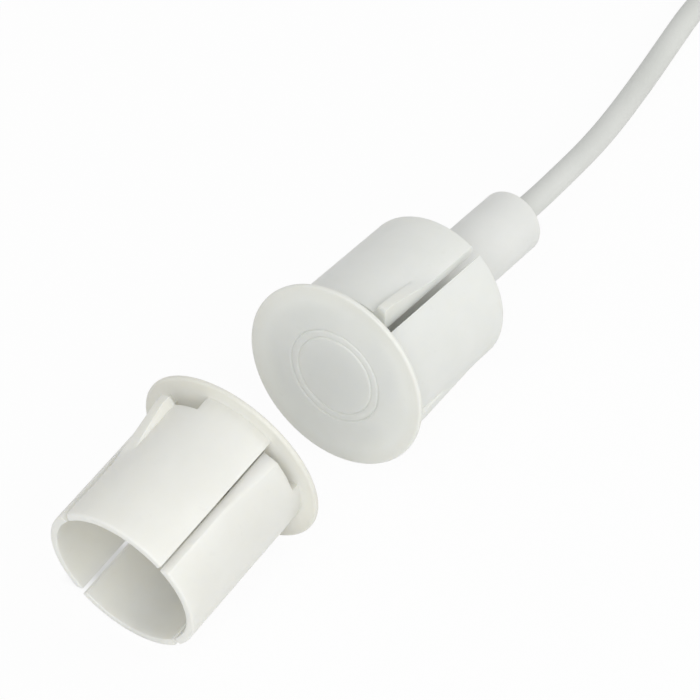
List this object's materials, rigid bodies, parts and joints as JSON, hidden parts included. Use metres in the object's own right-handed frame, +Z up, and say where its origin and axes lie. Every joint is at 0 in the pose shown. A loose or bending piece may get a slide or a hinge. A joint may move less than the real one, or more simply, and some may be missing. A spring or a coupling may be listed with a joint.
{
  "type": "recessed magnetic contact",
  "caption": "Flush door or window contact: a wired reed half with its capsule and cable, and a matching magnet half, both in flanged split push-in bushes.",
  "frame": {"origin": "on the surface, under the middle of the pair's own box without its cable", "axes": "+X from the magnet half to the contact half and its cable, +Z up from the surface that both halves lie on"},
  "size_m": [0.2078, 0.0388, 0.0243],
  "materials": {
    "contact_plastic": "moulded white ABS with a soft shine",
    "capsule_plastic": "moulded white ABS",
    "resin": "cast off-white resin",
    "glass": "clear green-tinted glass",
    "blade_metal": "plated nickel-iron",
    "magnet_plastic": "moulded creamy white ABS with a soft shine",
    "magnet_metal": "nickel-plated sintered magnet",
    "cable_sheath": "soft white PVC",
    "core_white": "PVC",
    "core_brown": "PVC",
    "core_yellow": "PVC",
    "core_green": "PVC",
    "copper": "bare copper strands"
  },
  "bodies": {
    "root": {"contact_bush": "contact_plastic", "capsule": "capsule_plastic", "potting": "resin", "reed_glass": "glass", "reed_blade_front": "blade_metal", "reed_blade_rear": "blade_metal", "lead_front": "core_white", "lead_rear": "core_brown", "magnet_bush": "magnet_plastic", "magnet": "magnet_metal", "cable": "cable_sheath", "cable_coil": "cable_sheath", "cable_tail": "cable_sheath", "core_1": "core_white", "core_2": "core_brown", "core_3": "core_yellow", "core_4": "core_green", "tip_1": "copper", "tip_2": "copper", "tip_3": "copper", "tip_4": "copper"}
  },
  "joints": []
}
